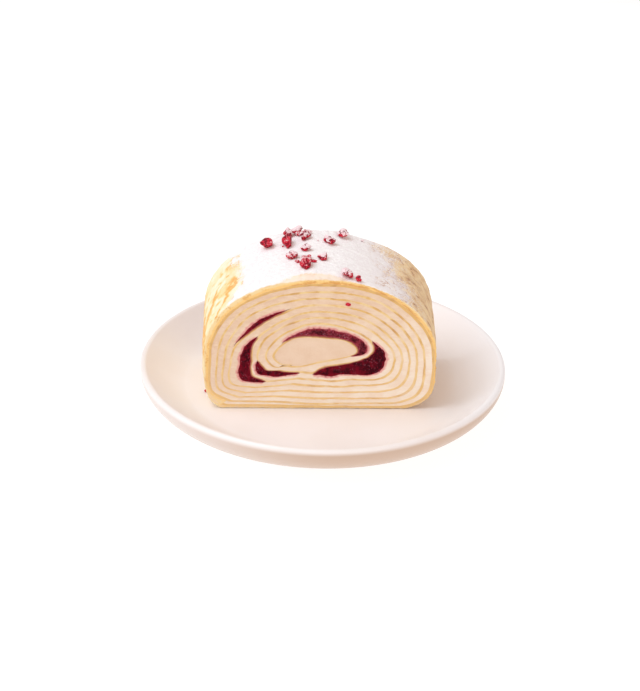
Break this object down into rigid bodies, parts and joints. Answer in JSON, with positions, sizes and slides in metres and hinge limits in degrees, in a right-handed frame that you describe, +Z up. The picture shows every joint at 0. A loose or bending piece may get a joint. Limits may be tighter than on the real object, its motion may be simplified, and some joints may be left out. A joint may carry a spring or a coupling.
{
  "type": "rolled crepe",
  "caption": "Cut slice of a rolled crepe with cream, berry jam and a custard heart, standing on a round coupe dessert plate.",
  "frame": {"origin": "centre of the plate's foot ring, on the surface it stands on", "axes": "+Z up; the front cut of the slice faces -Y, turned a little under two degrees anticlockwise seen from above; +X to the right of the front cut"},
  "size_m": [0.15, 0.15, 0.0717],
  "materials": {
    "plate": "warm pinkish white glaze, soft gloss",
    "outer_crepe": "food: thin golden crepe with darker wrinkles, dusted with powdered sugar on top",
    "crepe": "food: thin pale golden crepe, matte",
    "cream": "food: pale beige whipped cream, satin",
    "custard": "food: beige custard cream, matte",
    "jam": "food: dark red berry jam, moist",
    "berry": "food: crimson freeze-dried berry, dry, with frosty sugar on the broken faces"
  },
  "bodies": {
    "root": {"plate": "plate", "outer_crepe": "outer_crepe", "crepe": "crepe", "cream": "cream", "custard": "custard", "jam_sliver": "jam", "jam_crescent": "jam", "jam_left_pocket": "jam", "jam_right_pocket": "jam", "jam_band": "jam", "berry_01": "berry", "berry_02": "berry", "berry_03": "berry", "berry_04": "berry", "berry_05": "berry", "berry_06": "berry", "berry_07": "berry", "berry_08": "berry", "berry_09": "berry", "berry_10": "berry", "berry_11": "berry", "berry_12": "berry", "berry_13": "berry"}
  },
  "joints": []
}
